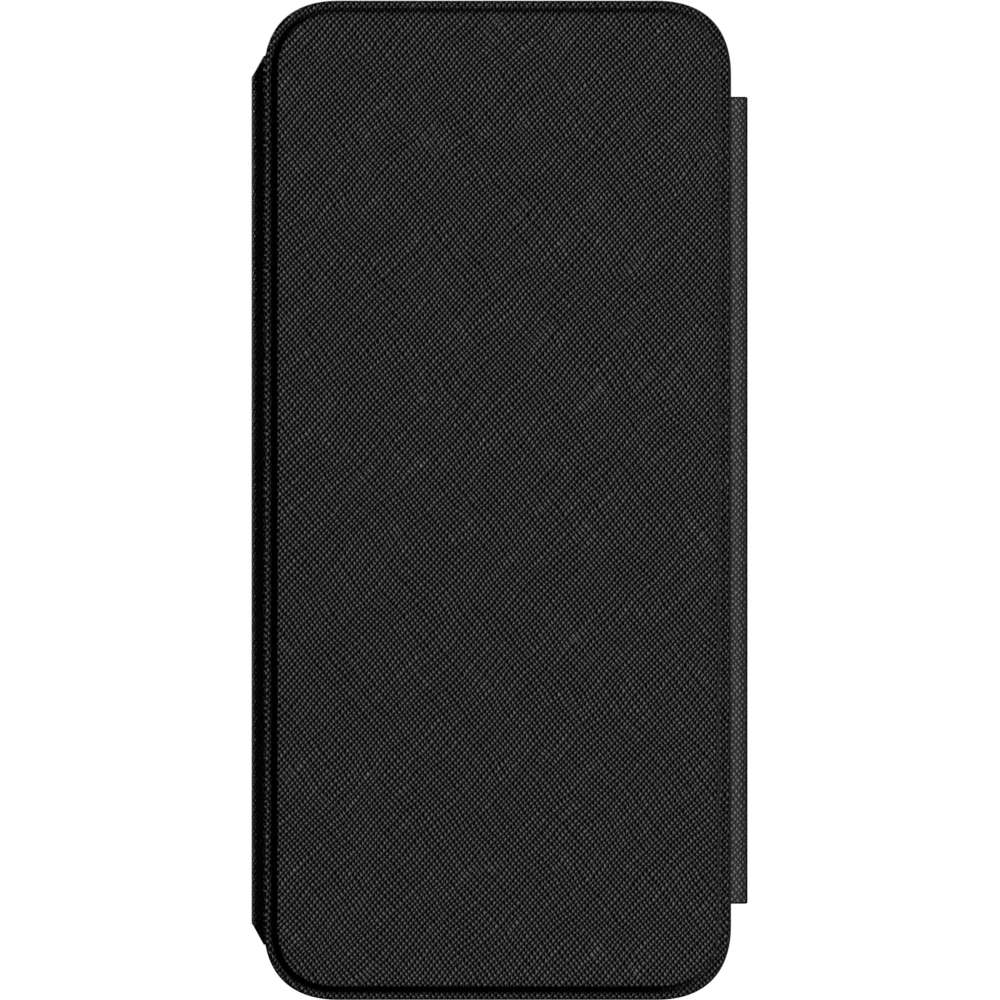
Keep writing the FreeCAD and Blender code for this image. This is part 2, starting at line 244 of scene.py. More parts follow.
def sheet(name, lengths, shares, at, reach, outer, inner, materials, uv_start=0.0, uv_sign=1):
    """Closed sheet of any thickness along a path in the XY plane.

    lengths are stations along the path. reach(s) gives the lowest and highest Z there, and the vertices
    stand at the given shares between them. outer(s, z) and inner(s, z) are the two skins' distances from
    the path along its normal, and the second material is the inner skin's.
    """
    bm = bmesh.new()
    layer = bm.loops.layers.uv.new("unrolled")
    flat = {}
    skins = []
    for offset in (outer, inner):
        rows = []
        for s in lengths:
            point, normal = at(s)
            low, high = reach(s)
            row = []
            for share in shares:
                z = low + (high - low) * share
                spot = point + normal * offset(s, z)
                vert = bm.verts.new((spot.x, spot.y, z))
                flat[vert] = (uv_start + uv_sign * s, z)
                row.append(vert)
            rows.append(row)
        skins.append(rows)
    faces = []
    edges = []
    for index, rows in enumerate(skins):
        for row, following in zip(rows, rows[1:]):
            for step in range(len(shares) - 1):
                corners = (row[step], row[step + 1], following[step + 1], following[step])
                face = bm.faces.new(corners)
                face.material_index = index
                faces.append(face)
        edge = [row[0] for row in rows] + rows[-1][1:]
        edge += [row[-1] for row in rows[-2::-1]] + rows[0][-2:0:-1]
        edges.append(edge)
    front, back = edges
    for step in range(len(front)):
        after = (step + 1) % len(front)
        faces.append(bm.faces.new((front[step], front[after], back[after], back[step])))
    for face in faces:
        for loop in face.loops:
            loop[layer].uv = flat[loop.vert]
    return finish_mesh(name, bm, materials)


def spread(low, high, step):
    """Evenly spaced values from low to high, no further apart than step."""
    count = max(1, math.ceil(abs(high - low) / step - 1e-9))
    return [low + (high - low) * number / count for number in range(count + 1)]


def round_over(radius, step=15):
    """(inset, drop) pairs of a rounded edge, from the flat face out to the side."""
    angles = [math.radians(turn) for turn in spread(90, 0, step)]
    return [(radius * (1 - math.cos(angle)), radius * (1 - math.sin(angle))) for angle in angles]


def in_order(*runs):
    """All the values of several runs, in order and without repeats."""
    values = []
    for value in sorted(value for run in runs for value in run):
        if not values or value > values[-1] + 1e-4:
            values.append(value)
    return values


def fall(distance, radius):
    """How far a rounded edge has fallen away at a distance in from the edge."""
    if distance >= radius:
        return 0.0
    return radius - math.sqrt(max(radius * radius - (radius - distance) ** 2, 0.0))


def dip(distance, width, depth):
    """Depth of a smooth pressed line at a distance from its middle."""
    if abs(distance) >= width / 2:
        return 0.0
    return depth * 0.5 * (1 + math.cos(2 * math.pi * distance / width))


# ---- material helpers


class Nodes:
    """Short calls for building a node tree; every value may be a number or an output socket."""

    def __init__(self, name):
        self.material = bpy.data.materials.new(name)
        self.material.use_nodes = True
        self.tree = self.material.node_tree
        self.tree.nodes.clear()
        self.shader = self.add("ShaderNodeBsdfPrincipled")
        self.output = self.add("ShaderNodeOutputMaterial")
        self.tree.links.new(self.shader.outputs[0], self.output.inputs["Surface"])

    def add(self, kind, values=(), **settings):
        """New node with its settings; values is a list or dictionary of its inputs' values."""
        made = self.tree.nodes.new(kind)
        for key, value in settings.items():
            setattr(made, key, value)
        for key, value in values.items() if isinstance(values, dict) else enumerate(values):
            self.put(made.inputs[key], value)
        return made

    def put(self, socket, value):
        if isinstance(value, bpy.types.NodeSocket):
            self.tree.links.new(value, socket)
        else:
            socket.default_value = value

    def set(self, **values):
        for key, value in values.items():
            self.put(self.shader.inputs[key.replace("_", " ")], value)

    def math(self, operation, *values):
        return self.add("ShaderNodeMath", values, operation=operation).outputs[0]

    def plus(self, *values):
        return reduce(lambda total, value: self.math("ADD", total, value), values)

    def times(self, *values):
        return reduce(lambda total, value: self.math("MULTIPLY", total, value), values)

    def ramp(self, value, low, high, out_low=0.0, out_high=1.0):
        values = (value, low, high, out_low, out_high)
        return self.add("ShaderNodeMapRange", values, interpolation_type="SMOOTHSTEP").outputs[0]

    def noise(self, vector, scale, detail=2.0, roughness=0.5, distortion=0.0):
        values = {"Vector": vector, "Scale": scale, "Detail": detail}
        values.update(Roughness=roughness, Distortion=distortion)
        return self.add("ShaderNodeTexNoise", values).outputs["Fac"]

    def cells(self, vector, scale):
        return self.add("ShaderNodeTexVoronoi", {"Vector": vector, "Scale": scale}).outputs["Distance"]

    def vector(self, x, y, z=0.0):
        return self.add("ShaderNodeCombineXYZ", (x, y, z)).outputs[0]

    def split(self, vector):
        return self.add("ShaderNodeSeparateXYZ", [vector]).outputs

    def blend(self, factor, first, second):
        values = {"Factor": factor, "A": first, "B": second}
        return self.add("ShaderNodeMix", values, data_type="RGBA").outputs["Result"]

    def bump(self, height, distance_m):
        return self.add("ShaderNodeBump", {"Height": height, "Distance": distance_m}).outputs[0]

    def spot(self):
        """Object position in millimetres."""
        made = self.add("ShaderNodeTexCoord")
        values = {0: made.outputs["Object"], "Scale": 1 / MM}
        return self.add("ShaderNodeVectorMath", values, operation="SCALE").outputs[0]


def grey(value):
    return (value, value, value * 1.02, 1.0)


# ---- materials

# cross-hatch grain: two families of rows; angles are those of each family's normal
RISING_NORMAL = -45.0
FALLING_NORMAL = 38.5
GRAIN_PITCH = 0.74


def grain_rows(nodes, u, v, normal_degrees, seed):
    """Rows with a gentle side and a steep one; they wander, and streaks of finer rows run among them."""
    angle = math.radians(normal_degrees)
    across = nodes.plus(nodes.times(u, math.cos(angle)), nodes.times(v, math.sin(angle)))
    along = nodes.plus(nodes.times(u, -math.sin(angle)), nodes.times(v, math.cos(angle)))

    def drift(x, y, x_pace, y_pace, number, detail):
        """Noise over two directions, with its own pace per millimetre along each."""
        return nodes.noise(nodes.vector(nodes.times(x, x_pace), nodes.times(y, y_pace), number), 1.0, detail)

    slow = drift(u, v, 0.09, 0.09, seed, 1.0)
    bunch = drift(across, along, 1.1, 0.1, seed + 5, 0.0)
    jitter = drift(u, v, 0.6, 0.6, seed + 7, 0.0)
    wander = nodes.plus(nodes.times(slow, 2.0), nodes.times(bunch, 0.55), nodes.times(jitter, 0.35))
    rows = nodes.plus(nodes.times(across, 1 / GRAIN_PITCH), wander)
    part = nodes.math("FRACT", rows)
    gentle = nodes.ramp(part, 0.0, 0.6)
    steep = nodes.ramp(part, 0.65, 1.0, 1.0, 0.0)
    coarse = nodes.math("MINIMUM", gentle, steep)
    fine = nodes.ramp(nodes.math("PINGPONG", nodes.times(rows, 1.7), 0.5), 0.0, 0.46, 1.0, 0.0)
    where = drift(across, along, 0.45, 0.1, seed + 9, 1.0)
    finer = nodes.plus(nodes.times(fine, 0.35), nodes.times(coarse, -0.35))
    return nodes.plus(coarse, nodes.times(nodes.ramp(where, 0.6, 0.72), finer))


def grained_leather(name="grained_leather", relief=0.62, shade=0.02):
    """Black cross-hatch grained leather with painted highlight and shade on its grain, near black where painted
    shade or ink is marked; the grain is stretched flat round the spine.
    """
    nodes = Nodes(name)
    unrolled = nodes.add("ShaderNodeUVMap", uv_map="unrolled").outputs[0]
    u, v = nodes.split(unrolled)[:2]
    rising = grain_rows(nodes, u, v, RISING_NORMAL, 3.0)
    falling = grain_rows(nodes, u, v, FALLING_NORMAL, 17.0)
    ridges = nodes.times(rising, nodes.ramp(falling, 0.0, 1.0, 0.15, 1.0))
    grit = nodes.noise(nodes.vector(u, v, 2.0), 3.5, 2.0, 0.6)
    height = nodes.plus(ridges, nodes.times(grit, 0.12))
    patch = nodes.noise(nodes.vector(u, v, 7.0), 0.35, 3.0, 0.6)
    stretch = nodes.ramp(u, -COVER_X - 6, -COVER_X - 0.5, 0.4, 1.0)
    # per-vertex painted shade, and the flap's inked edges
    painted_shade_and_ink = nodes.add("ShaderNodeAttribute", attribute_name="painted_shade_and_ink").outputs["Fac"]
    open_grain = nodes.ramp(painted_shade_and_ink, 0.0, 1.0, 1.0, 0.35)
    normal = nodes.bump(height, nodes.times(stretch, open_grain, relief * MM))
    # lighter on the grain's ridges and darker in its hollows: painted highlight and painted shade
    colour = nodes.blend(ridges, grey(shade * 0.2), grey(shade * 1.9))
    colour = nodes.blend(nodes.times(patch, 0.12), colour, grey(shade * 1.6))
    # painted shade, and the flap's inked edges, go near black here and lose their gloss below
    colour = nodes.blend(painted_shade_and_ink, colour, grey(shade * 0.02))
    rough = nodes.plus(nodes.ramp(ridges, 0, 1, 0.6, 0.55), nodes.times(patch, 0.06))
    gloss = nodes.times(nodes.ramp(ridges, 0, 1, 0.1, 0.2), nodes.ramp(painted_shade_and_ink, 0.0, 1.0, 1.0, 0.0))
    nodes.set(Base_Color=colour, Roughness=rough, Specular_IOR_Level=gloss, Normal=normal)
    return nodes.material


def smooth_lining(name="smooth_lining", shade=0.018):
    """Matt leather-look sheet with a very fine pebble."""
    nodes = Nodes(name)
    spot = nodes.spot()
    pebble = nodes.cells(spot, 3.4)
    fine = nodes.noise(spot, 7.0, 3.0, 0.6)
    broad = nodes.noise(spot, 0.12, 2.0)
    height = nodes.plus(nodes.times(pebble, 0.8), nodes.times(fine, 0.4))
    colour = nodes.blend(nodes.ramp(broad, 0.3, 0.7), grey(shade * 0.85), grey(shade * 1.2))
    colour = nodes.blend(nodes.ramp(pebble, 0.0, 0.5), grey(shade * 0.6), colour)
    nodes.set(
        Base_Color=colour,
        Roughness=nodes.ramp(fine, 0.3, 0.7, 0.52, 0.68),
        Specular_IOR_Level=0.18,
        Normal=nodes.bump(height, 0.02 * MM),
    )
    return nodes.material


def microfibre():
    """Short-napped lining of the tray, with brushed patches and a soft sheen."""
    nodes = Nodes("microfibre")
    spot = nodes.spot()
    fibre = nodes.noise(spot, 9.0, 4.0, 0.7)
    brushed = nodes.noise(spot, 0.16, 2.0, 0.5, 1.2)
    colour = nodes.blend(nodes.ramp(brushed, 0.35, 0.65), grey(0.056), grey(0.07))
    colour = nodes.blend(nodes.ramp(fibre, 0.35, 0.7), grey(0.036), colour)
    nodes.set(
        Base_Color=colour,
        Roughness=0.95,
        Specular_IOR_Level=0.15,
        Sheen_Weight=0.6,
        Sheen_Roughness=0.4,
        Sheen_Tint=grey(0.5),
        Normal=nodes.bump(fibre, 0.09 * MM),
    )
    return nodes.material


def moulded_plastic(name, shade, rough, gloss, texture):
    """Moulded black plastic with spark-eroded texture and faint handling polish."""
    nodes = Nodes(name)
    spot = nodes.spot()
    spark = nodes.noise(spot, 6.5, 3.0, 0.65)
    polish = nodes.noise(spot, 0.09, 3.0)
    handled = nodes.ramp(polish, 0.3, 0.7, rough + 0.05, rough - 0.05)
    nodes.set(
        Base_Color=nodes.blend(nodes.ramp(polish, 0.3, 0.7), grey(shade * 0.85), grey(shade * 1.2)),
        Roughness=nodes.plus(handled, nodes.times(spark, 0.08)),
        Specular_IOR_Level=gloss,
        Normal=nodes.bump(spark, texture * MM),
    )
    return nodes.material


def metal(name, shade, rough, brushed):
    """Plated or brushed sheet metal, the brush marks running along Z."""
    nodes = Nodes(name)
    x, y, z = nodes.split(nodes.spot())
    stretched = nodes.vector(nodes.times(x, 5.0), nodes.times(y, 5.0), nodes.times(z, 0.06))
    streak = nodes.noise(stretched, 1.0, 3.0)
    stain = nodes.noise(nodes.spot(), 0.3, 3.0)
    nodes.set(
        Base_Color=nodes.blend(nodes.ramp(stain, 0.3, 0.7), grey(shade * 0.85), grey(shade)),
        Metallic=1.0,
        Roughness=nodes.ramp(streak, 0.3, 0.7, rough - 0.05, rough + 0.1),
        Normal=nodes.bump(streak, brushed * MM),
    )
    return nodes.material


def grey_board():
    """Pressed fibre board."""
    nodes = Nodes("board")
    spot = nodes.spot()
    fibre = nodes.noise(spot, 2.2, 4.0, 0.7, 1.5)
    fleck = nodes.cells(spot, 1.1)
    colour = nodes.blend(nodes.ramp(fibre, 0.3, 0.7), (0.22, 0.21, 0.19, 1), (0.33, 0.31, 0.28, 1))
    colour = nodes.blend(nodes.ramp(fleck, 0.05, 0.12, 0.6, 0.0), colour, (0.1, 0.09, 0.08, 1))
    nodes.set(Base_Color=colour, Roughness=0.92, Specular_IOR_Level=0.2, Normal=nodes.bump(fibre, 0.05 * MM))
    return nodes.material


def sheet_foam():
    """Open-cell foam."""
    nodes = Nodes("foam")
    pores = nodes.cells(nodes.spot(), 2.6)
    colour = nodes.blend(nodes.ramp(pores, 0.1, 0.5), grey(0.03), grey(0.11))
    nodes.set(Base_Color=colour, Roughness=0.97, Specular_IOR_Level=0.1, Normal=nodes.bump(pores, 0.15 * MM))
    return nodes.material


def sewing_thread():
    """Twisted polyester thread."""
    nodes = Nodes("thread")
    spot = nodes.spot()
    parts = nodes.split(spot)
    twist = nodes.math("SINE", nodes.times(nodes.plus(parts[0], parts[2], nodes.times(parts[1], 1.5)), 16.0))
    fuzz = nodes.noise(spot, 14.0, 2.0)
    colour = nodes.blend(nodes.ramp(twist, -1.0, 1.0), grey(0.02), grey(0.055))
    nodes.set(
        Base_Color=colour,
        Roughness=nodes.ramp(fuzz, 0.3, 0.7, 0.5, 0.7),
        Sheen_Weight=0.3,
        Normal=nodes.bump(twist, 0.03 * MM),
    )
    return nodes.material


LEATHER_SKIN = grained_leather()
RAW_BACK = smooth_lining("leather_backing", shade=0.05)
FLAP_SKIN = grained_leather("flap_leather_grain", relief=0.13, shade=0.022)
LINING = smooth_lining()
MICROFIBRE = microfibre()
FOAM = sheet_foam()
THREAD = sewing_thread()
BOARD = grey_board()
TRAY_PLASTIC = moulded_plastic("tray_plastic", 0.01, 0.62, 0.14, 0.012)
TRIM_PLASTIC = moulded_plastic("trim_plastic", 0.014, 0.24, 0.45, 0.002)
STEEL = metal("steel", 0.09, 0.42, 0.0012)
MAGNET_PLATING = metal("magnet_plating", 0.6, 0.22, 0.001)


def repaint(material, *node_names):
    """Gives CAD nodes a finished material."""
    for name in node_names:
        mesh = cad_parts[name].data
        mesh.materials.clear()
        mesh.materials.append(material)


# ---- padding


def cloth_sheet(across, up, scale):
    """Flat grid in an object of its own, with a vertex at each (across, up)."""
    mesh = bpy.data.meshes.new("panel_cloth")
    columns = len(across)
    faces = []
    for row in range(len(up) - 1):
        for column in range(columns - 1):
            first = row * columns + column
            faces.append((first, first + 1, first + columns + 1, first + columns))
    mesh.from_pydata([(x * scale, z * scale, 0) for z in up for x in across], [], faces)
    panel = bpy.data.objects.new("panel_cloth", mesh)
    bpy.context.scene.collection.objects.link(panel)
    return panel


def sag_of(panel, frames=30):
    """How far each vertex of a level sheet sinks as cloth, where it isn't in the group "held"."""
    cloth = panel.modifiers.new("cloth", "CLOTH")
    settings = cloth.settings
    settings.vertex_group_mass = "held"
    settings.mass = 0.3
    settings.quality = 6
    settings.air_damping = 4
    settings.tension_stiffness = 60
    settings.compression_stiffness = 60
    settings.shear_stiffness = 20
    settings.bending_stiffness = 4
    cloth.collision_settings.use_collision = False
    cloth.point_cache.frame_start = 1
    cloth.point_cache.frame_end = frames
    for number in range(1, frames + 1):
        bpy.context.scene.frame_set(number)
    settled = panel.evaluated_get(bpy.context.evaluated_depsgraph_get())
    sag = [-vert.co.z for vert in settled.data.vertices]
    bpy.context.scene.frame_set(1)
    return sag


def blown_panel(half_width, half_height, cell):
    """Cloth simulation of the padded panel: leather held at its edge, loaded evenly across its face.

    Gives a function of (x, z) that runs from 0 at the edge to 1 where the panel stands highest. The sheet is
    simulated ten times life size, which cloth takes better than millimetres.
    """
    across = spread(-half_width, half_width, cell)
    up = spread(-half_height, half_height, cell)
    panel = cloth_sheet(across, up, 10 * MM)
    held = panel.vertex_groups.new(name="held")
    for number, (x, z) in enumerate((x, z) for z in up for x in across):
        from_side = half_width - abs(x)
        from_end = half_height - abs(z)
        at_edge = min(from_side, from_end) < cell / 2
        in_corner = from_side + from_end < 0.55 * CORNER
        if at_edge or in_corner:
            held.add([number], 1.0, "REPLACE")
    sag = sag_of(panel)
    bpy.data.objects.remove(panel)
    deepest = max(max(sag), 1e-9)
    columns = len(across)

    def lift(x, z):
        column = (x + half_width) / (2 * half_width) * (columns - 1)
        row = (z + half_height) / (2 * half_height) * (len(up) - 1)
        column = min(max(column, 0), columns - 1.001)
        row = min(max(row, 0), len(up) - 1.001)
        i, j = int(column), int(row)
        a, b = column - i, row - j
        low = sag[j * columns + i] * (1 - a) + sag[j * columns + i + 1] * a
        high = sag[(j + 1) * columns + i] * (1 - a) + sag[(j + 1) * columns + i + 1] * a
        return max(low * (1 - b) + high * b, 0.0) / deepest

    return lift


# ---- front cover

# painted shade of each zone of the cover's face, set by side for how the key lamp's light falls: at the spine
# side, at the flap side, at the top and at the foot
ZONE_SHADE = {
    "pad": (0.0, 0.0, 0.0, 0.0),
    "shoulder": (0.6, 0.3, 0.0, 0.65),
    "wall": (1.0, 0.67, 0.3, 1.0),
    "floor": (1.0, 0.18, 0.8, 1.0),
    "brink": (0.65, 0.15, 0.2, 0.65),
    "border": (0.05, 0.13, 0.05, 0.05),
    "edge": (0.0, 0.8, 0.5, 0.6),
}


def pressed_profile():
    """(inset, y, zone) of the cover's outer face, from its padded middle out to the turned edge."""
    pad_round = 0.36
    edge_round = 0.4
    groove_y = BORDER_FACE_Y + 0.05
    pad_insets = (36, 32, 28, 24, 20, 16.5, 13.5, 11, 9, 7.2, 5.8, 4.8, 4, 3.4, 3, 2.6)
    points = [(inset, COVER_LOW.y, "pad") for inset in pad_insets]
    for inset, drop in round_over(pad_round):
        points.append((PAD_INSET + inset, COVER_LOW.y + drop, "wall" if drop else "shoulder"))
    points += [(inset, groove_y, "floor") for inset in (1.9, 1.55, 1.35)]
    points += [(inset, BORDER_FACE_Y, "brink") for inset in (1.15, 1.0)]
    points += [(inset, BORDER_FACE_Y, "border") for inset in (0.75, 0.45)]
    return points + [(inset, BORDER_FACE_Y + drop, "edge") for inset, drop in round_over(edge_round)]


def shade_at(zone, x, z):
    """Painted shade of a zone at a place, blended between its values at the spine side, the flap side, the top
    and the foot.
    """
    left, right, top, foot = ZONE_SHADE[zone]
    toward_right = min(max((x - COVER_X) / CORNER + 1, 0), 1)
    toward_end = min(max((abs(z) - COVER_Z) / CORNER + 1, 0), 1) * (1 - toward_right)
    end = top if z > 0 else foot
    return left + (right - left) * toward_right + (end - left) * toward_end


def cover_ring(inset, depth):
    """Ring of the cover's outline, made smaller by inset; depth is its y, or gives it at (x, z)."""
    ring = outline(COVER_X, COVER_Z, CORNER, FULLNESS, inset)
    return [(x, depth(x, z) if callable(depth) else depth, z) for x, z in ring]


def turned_in(x, z):
    """False where a fold's tongue enters the cover's edge, so the leather isn't turned in there."""
    half = FLAP_HIGH.z if x > 0 else FRONT_FOLD_HIGH.z
    return abs(x) < COVER_X - CORNER or abs(z) > half + TONGUE_GAP


def build_cover_leather():
    """Padded leather of the cover: face, groove, flat border and the edge turned in over the board."""
    crown = 0.08
    ripple = 0.04
    lift = blown_panel(COVER_X - FOAM_INSET, COVER_Z - FOAM_INSET, 2.4)

    def face_y(x, z):
        height = 1 - (1 - lift(x, z)) ** 2
        wave = noise.noise(Vector((x * 0.05, z * 0.05, 3.1)))
        return COVER_LOW.y - height * (crown + ripple * wave)

    def behind(x, z):
        return BOARD_HIGH.y if turned_in(x, z) else BOARD_LOW.y

    profile = pressed_profile()
    rings = [cover_ring(inset, face_y if inset > FOAM_INSET - 0.01 else y) for inset, y, _ in profile]
    outside = len(rings)
    rings.append(cover_ring(0.0, lambda x, z: behind(x, z) - 0.25))
    rings.append(cover_ring(0.06, lambda x, z: behind(x, z) - 0.08))
    rings += [cover_ring(inset, behind) for inset in (0.25, BOARD_INSET - 0.02)]
    rings += [cover_ring(BOARD_INSET, BOARD_LOW.y), cover_ring(FOAM_INSET - 0.05, FOAM_HIGH.y)]
    rings += [cover_ring(inset, FOAM_LOW.y) for inset in (FOAM_INSET, 20.0, 36.0)]
    made = loft("cover_leather_padded", rings, [LEATHER_SKIN, RAW_BACK], second_from=outside + 3)
    zones = [zone for _, _, zone in profile] + ["pad"] * (len(rings) - outside)
    # painted shade on the groove, its walls, the border and the turned edge, set per side for the key lamp
    mark_painted_shade_and_ink(made, [shade_at(zone, x, z) for zone, ring in zip(zones, rings) for x, _, z in ring])
    place(made, "cover", "grained_leather", "cover_leather")


def build_cover_lining():
    """Smooth lining inside the cover, with a line pressed round it."""
    low, high = extent("cover_lining")
    back, front = low.y, high.y
    line = LINING_INSET + 1.3
    rings = [cover_ring(36.0, back), cover_ring(LINING_INSET + 0.1, back)]
    rings += [cover_ring(LINING_INSET + inset, front - drop) for inset, drop in round_over(0.14, 30)[::-1]]
    for inset in spread(line - 0.4, line + 0.4, 0.1):
        rings.append(cover_ring(inset, front - dip(inset - line, 0.7, 0.12)))
    rings += [cover_ring(inset, front) for inset in (12.0, 36.0)]
    made = loft("cover_lining_sheet", rings, [LINING])
    place(made, "cover", "smooth_lining", "cover_lining")


build_cover_leather()
build_cover_lining()


# ---- spine and back


FOLD_LENGTH = SPINE_REACH * math.pi / 2
FOLD_SHARES = in_order(spread(0.0, 0.012, 0.003), spread(0.012, 0.988, 0.0085), spread(0.988, 1.0, 0.003))


def spine_taper(s, start):
    """Half height of a fold at a length along it: it narrows over its bend, then keeps the spine's height."""
    share = min(max((s - start) / FOLD_LENGTH, 0.0), 1.0)
    return FRONT_FOLD_HIGH.z + (SPINE_HIGH.z - FRONT_FOLD_HIGH.z) * math.sin(share * math.pi / 2)


def window_ring(margin, y):
    """Ring round the camera window, larger than its trim by margin."""
    half_x = (TRIM_HIGH.x - TRIM_LOW.x) / 2 + margin
    half_z = (TRIM_HIGH.z - TRIM_LOW.z) / 2 + margin
    centre = ((TRIM_HIGH.x + TRIM_LOW.x) / 2, (TRIM_HIGH.z + TRIM_LOW.z) / 2)
    return [(x, y, z) for x, z in outline(half_x, half_z, TRIM_CORNER + margin, centre=centre)]


def build_back_leather():
    """Leather over the tray's back, with the camera window cut out and a turned outer edge."""
    face, under = BACK_HIGH.y, BACK_LOW.y

    def on_spine_side(x, z):
        return x < CORNER - COVER_X and abs(z) < FRONT_FOLD_HIGH.z + 0.3

    def outer_ring(inset, y, drop):
        ring = outline(COVER_X, COVER_Z, CORNER, FULLNESS, inset)
        return [(x, y - (0 if on_spine_side(x, z) else drop), z) for x, z in ring]

    rings = [window_ring(0, under), window_ring(0, face - 0.2), window_ring(0.06, face - 0.06)]
    rings += [window_ring(0.2, face), window_ring(1.2, face)]
    rings += [outer_ring(3.0, face, 0), outer_ring(1.2, face, 0)]
    rings += [outer_ring(inset, face, drop) for inset, drop in round_over(0.4)]
    rings += [outer_ring(0.0, under, 0.0), outer_ring(3.0, under, 0.0), window_ring(1.2, under)]
    made = loft("back_leather_sheet", rings, [LEATHER_SKIN], closed=True)
    place(made, "tray", "grained_leather", "back_leather")


def spine_half(name, at, turn, tongue, total, uv_start):
    """Leather over one of the spine's folds and half of its face, along a path that bends after a tongue.

    turn is +1 where the path bends anticlockwise and -1 where it bends clockwise.
    """
    edge_round = 0.3
    flat_from = tongue + FOLD_LENGTH
    lengths = in_order(spread(tongue, flat_from, 0.1), spread(flat_from, total, 0.65))
    if tongue:
        lengths = in_order(spread(0, tongue, 0.4), lengths)

    def reach(s):
        half = spine_taper(s, tongue)
        return -half, half

    def outer(s, z):
        return turn * fall(reach(s)[1] - abs(z), edge_round)

    def inner(s, z):
        return turn * LEATHER

    skins = [LEATHER_SKIN, LINING]
    made = sheet(name, lengths, FOLD_SHARES, at, reach, outer, inner, skins, uv_start, -turn)
    return made


def build_spine_back():
    """Leather from the back round its fold to the middle of the spine."""
    flat = SPINE_HIGH.y - SPINE_MIDDLE_Y
    at = bent_path((-COVER_X, BACK_HIGH.y), 180, [(FOLD_LENGTH, 90), (flat, 0)])
    made = spine_half("spine_leather_back", at, 1, 0, FOLD_LENGTH + flat, -COVER_X)
    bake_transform(made)
    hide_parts("back_fold")


def build_spine_front():
    """Leather from the middle of the spine round the front fold to its tongue inside the cover."""
    tongue = BOARD_INSET - TONGUE_GAP
    flat = SPINE_MIDDLE_Y - SPINE_LOW.y
    at = bent_path((-COVER_X + tongue, BOARD_LOW.y), 180, [(tongue, 0), (FOLD_LENGTH, -90), (flat, 0)])
    uv_start = -COVER_X - 2 * (SPINE_HIGH.y - SPINE_MIDDLE_Y) - 2 * FOLD_LENGTH - tongue
    made = spine_half("spine_leather_front", at, -1, tongue, tongue + FOLD_LENGTH + flat, uv_start)
    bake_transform(made)
    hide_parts("front_fold", "spine_leather")


def build_strip_lining(node, body, facing, overhang, hidden):
    """Lining on the inner face of the spine or the flap, with a line pressed round it.

    facing is +1 or -1, the way along X it faces. It is larger than its CAD node by the overhang, which laps
    the board's edges, and hidden holds the (inset, x) of each ring on its back.
    """
    low, high = extent(node)
    face_x = high.x if facing > 0 else low.x
    half_width, half_height = (high.y - low.y) / 2 + overhang, high.z + overhang
    centre = ((low.y + high.y) / 2, 0)
    corner = 0.8
    line = 1.2

    def ring(inset, x):
        shape = outline(half_width, half_height, corner, inset=inset, centre=centre, steps=(60, 8, 6))
        return [(x, y, z) for y, z in shape]

    rings = [ring(inset, x) for inset, x in hidden]
    rings += [ring(inset, face_x - facing * drop) for inset, drop in round_over(0.2, 22.5)[::-1]]
    for inset in spread(line - 0.4, line + 0.4, 0.1):
        rings.append(ring(inset, face_x - facing * dip(inset - line, 0.6, 0.1)))
    rings.append(ring(3.0, face_x))
    made = loft(node + "_sheet", rings, [LINING], uv_of=lambda point: (point.y, point.z))
    place(made, body, "smooth_lining", node)


# ---- closure flap

# lengths along the flap's leather: its tongue inside the cover, the bend, then the face
FLAP_TONGUE = FLAP_FOLD_HIGH.x - FLAP_RADIUS - FLAP_FOLD_LOW.x
FLAP_BEND = FLAP_RADIUS * math.pi / 2
FLAP_FACE = FLAP_TONGUE + FLAP_BEND
FLAP_END = FLAP_FACE + FLAP_HIGH.y - FLAP_LOW.y
FLAP_EDGE_ROUND = 0.45
# the fold is squarer than a round one: a circle would have the power 2
FOLD_POWER = 6
# and the strip beside the cover slopes back by this much
STRIP_DROP = 0.3
# degrees round the fold where the painted shade is darkest, facing the key lamp, and how gradually that fades
PAINTED_SHADE_AT = 66
PAINTED_SHADE_FADE = 28


def fold_shape(s):
    """How far the fold's corner stands out past a round one, less the strip's slope beside the cover."""
    angle = min(max((s - FLAP_TONGUE) / FLAP_BEND, 0.0), 1.0) * math.pi / 2
    across = max(math.sin(angle), 1e-6)
    down = max(math.cos(angle), 1e-6)
    square = FLAP_RADIUS * ((across**FOLD_POWER + down**FOLD_POWER) ** (-1 / FOLD_POWER) - 1)
    beside = BOARD_INSET - TONGUE_GAP
    slope = STRIP_DROP * min(max((s - beside) / (FLAP_TONGUE + 0.5 * FLAP_BEND - beside), 0.0), 1.0)
    return square - slope * max(0.0, math.cos(angle))


def flap_painted_shade_and_ink(s, z):
    """Inked edges, plus painted shade round the fold where it faces the key lamp, and on the side face, which
    the lamp lights head-on, to keep it as dark as the cover.
    """
    near_edge = 1.0 if FLAP_HIGH.z - abs(z) < 0.28 or FLAP_END - s < 0.3 else 0.0
    # painted shade on the side face, which the key lamp lights head-on
    side_face = 0.5 if s > FLAP_FACE else 0.0
    # painted shade round the fold, darkest where it faces the key lamp
    degrees_off = abs((s - FLAP_TONGUE) / FLAP_BEND * 90 - PAINTED_SHADE_AT)
    return max(near_edge, side_face, min(max(1.6 - degrees_off / PAINTED_SHADE_FADE, 0.0), 1.0))


def flap_lengths():
    """Stations along the flap's leather, closest at its bend and its end."""
    return in_order(
        spread(0, FLAP_TONGUE, 0.5),
        spread(FLAP_TONGUE, FLAP_FACE, 0.1),
        [FLAP_FACE + 0.02],
        spread(FLAP_FACE + 0.4, FLAP_END - FLAP_TURN, 0.7),
        [FLAP_END - FLAP_TURN + 0.02],
        spread(FLAP_END - FLAP_EDGE_ROUND, FLAP_END, 0.06),
    )


